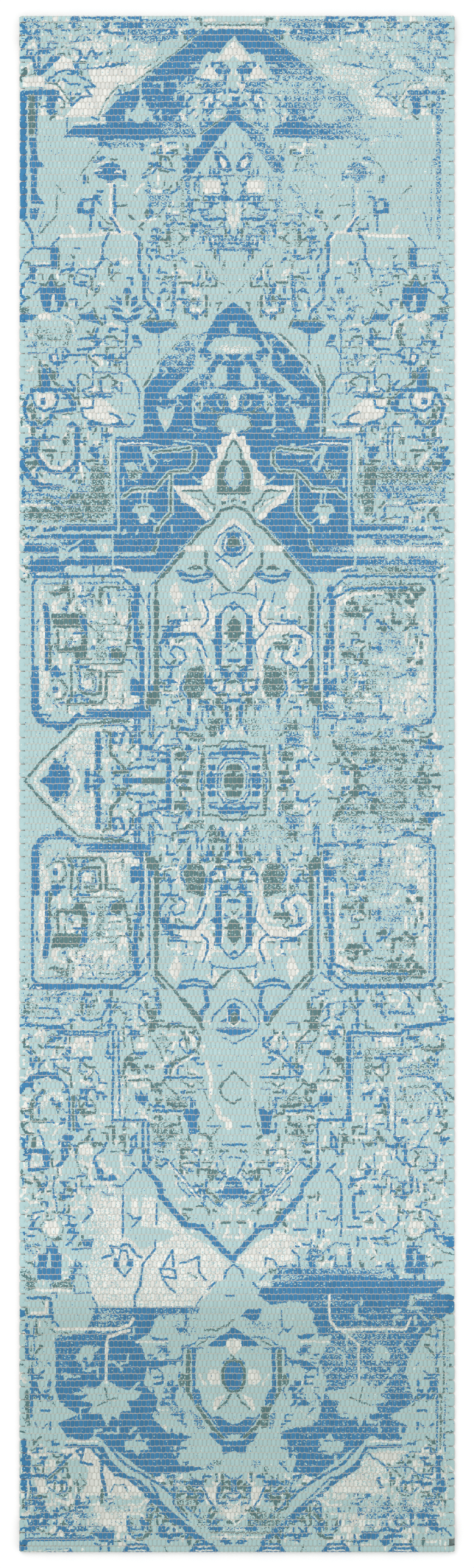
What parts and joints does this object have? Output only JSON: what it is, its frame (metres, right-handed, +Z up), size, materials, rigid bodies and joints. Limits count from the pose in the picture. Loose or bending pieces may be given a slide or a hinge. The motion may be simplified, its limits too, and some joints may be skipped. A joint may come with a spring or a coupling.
{
  "type": "runner rug",
  "caption": "Long narrow flat-woven floor runner with a distressed all-over print, turned hems at both ends and folding quarters.",
  "frame": {"origin": "middle of the underside, on the floor plane", "axes": "+X across the runner, +Y along it, +Z up out of the floor"},
  "size_m": [0.686, 2.424, 0.0115],
  "materials": {
    "printed_cotton": "matt cotton floats, printed in aqua, blue, teal and off-white and worn",
    "natural_cotton": "matt undyed cotton, unprinted",
    "weft_cotton": "soft thick cotton, printed only where its turns show at the selvedges",
    "hem_cotton": "the same cloth turned under, printed on its outer side",
    "sewing_thread": "twisted polyester-cotton sewing thread"
  },
  "bodies": {
    "near_middle": {"face_warp_2": "printed_cotton", "weft_2": "weft_cotton", "back_warp_2": "natural_cotton"},
    "near_end": {"face_warp_1": "printed_cotton", "weft_1": "weft_cotton", "back_warp_1": "natural_cotton", "hem_1": "hem_cotton", "hem_thread_1": "sewing_thread"},
    "far_middle": {"face_warp_3": "printed_cotton", "weft_3": "weft_cotton", "back_warp_3": "natural_cotton"},
    "far_end": {"face_warp_4": "printed_cotton", "weft_4": "weft_cotton", "back_warp_4": "natural_cotton", "hem_4": "hem_cotton", "hem_thread_4": "sewing_thread"}
  },
  "joints": [
    {"name": "near_end_fold", "type": "hinge", "parent": "near_middle", "child": "near_end", "pos_m": [0, -0.61645, 0.0094], "axis": [-1, 0, 0], "range_deg": [0, 180]},
    {"name": "mid_fold", "type": "hinge", "parent": "near_middle", "child": "far_middle", "pos_m": [0, 0, 0.019], "axis": [1, 0, 0], "range_deg": [0, 180]},
    {"name": "far_end_fold", "type": "hinge", "parent": "far_middle", "child": "far_end", "pos_m": [0, 0.61645, 0.0094], "axis": [1, 0, 0], "range_deg": [0, 180]}
  ]
}
